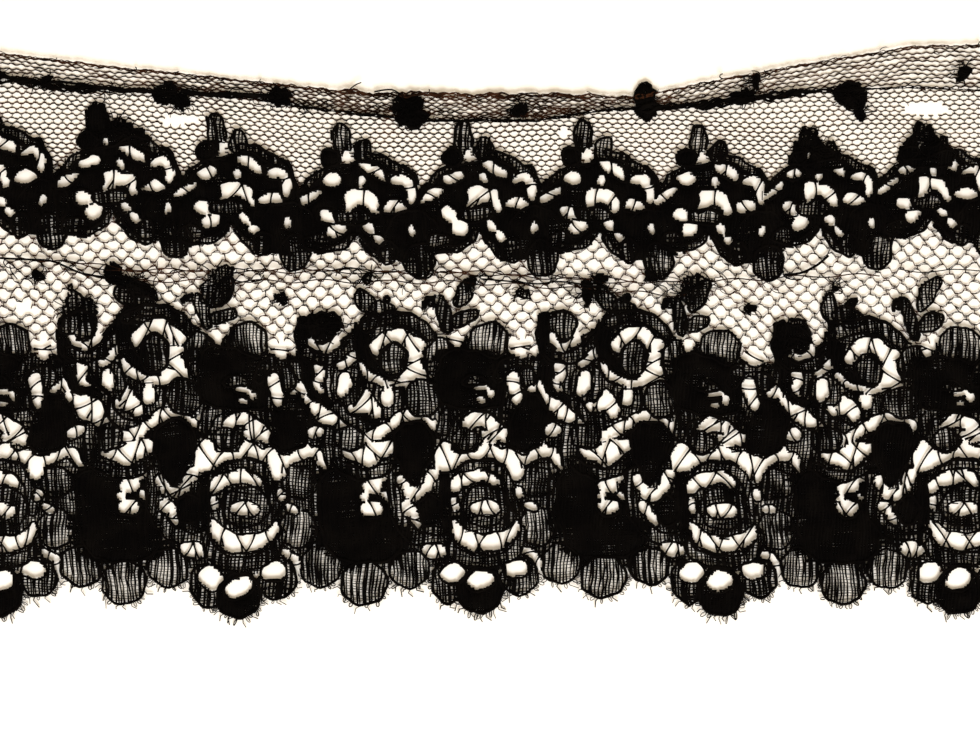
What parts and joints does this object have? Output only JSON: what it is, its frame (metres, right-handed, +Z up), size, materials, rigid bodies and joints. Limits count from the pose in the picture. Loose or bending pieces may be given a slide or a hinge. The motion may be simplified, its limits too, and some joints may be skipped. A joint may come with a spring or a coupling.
{
  "type": "lace trim",
  "caption": "Flat length of black floral lace trim with a gathered net heading, a band of small sprays, scrollwork with roses and a scalloped edge",
  "frame": {"origin": "middle of the underside of the strip's box", "axes": "+X along the strip, +Y from the scalloped edge to the heading, +Z up out of the cloth"},
  "size_m": [0.168, 0.0944, 0.0028],
  "materials": {
    "black_lace": "matt black thread, brown-black where it is thin"
  },
  "bodies": {
    "root": {"lace_trim": "black_lace"}
  },
  "joints": []
}
